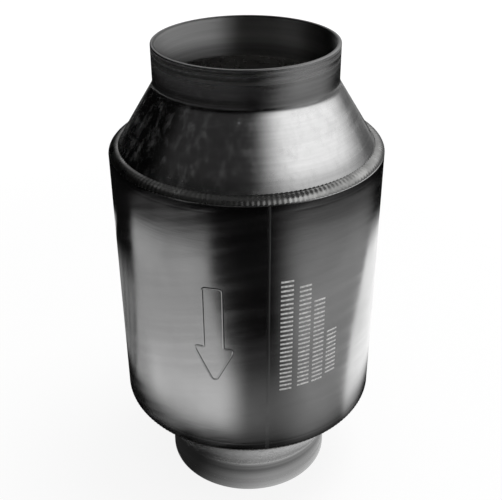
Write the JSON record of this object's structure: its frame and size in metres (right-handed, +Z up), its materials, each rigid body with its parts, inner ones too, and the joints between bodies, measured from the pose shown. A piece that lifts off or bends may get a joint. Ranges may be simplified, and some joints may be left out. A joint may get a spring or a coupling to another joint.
{
  "type": "catalytic converter",
  "caption": "Round steel catalytic converter: rolled shell with a spun cone and pipe neck at each end, welded round, and a wound metal-foil honeycomb inside.",
  "frame": {"origin": "centre of the outlet rim, on the converter's axis", "axes": "+Z up the axis from the outlet to the inlet; the seam of the shell faces -Y, turned 8 degrees towards +X"},
  "size_m": [0.1016, 0.1016, 0.182],
  "materials": {
    "shell_sheet": "stainless sheet with a dull mill finish",
    "spun_sheet": "stainless sheet with fine round spinning marks",
    "weld_metal": "bright rippled weld",
    "coated_foil": "thin foil with a matt grey coating"
  },
  "bodies": {
    "root": {"shell": "shell_sheet", "shell_seam_weld": "weld_metal", "inlet_cone": "spun_sheet", "outlet_cone": "spun_sheet", "inlet_weld_bead": "weld_metal", "outlet_weld_bead": "weld_metal", "flat_foil": "coated_foil", "corrugated_foil": "coated_foil"}
  },
  "joints": []
}
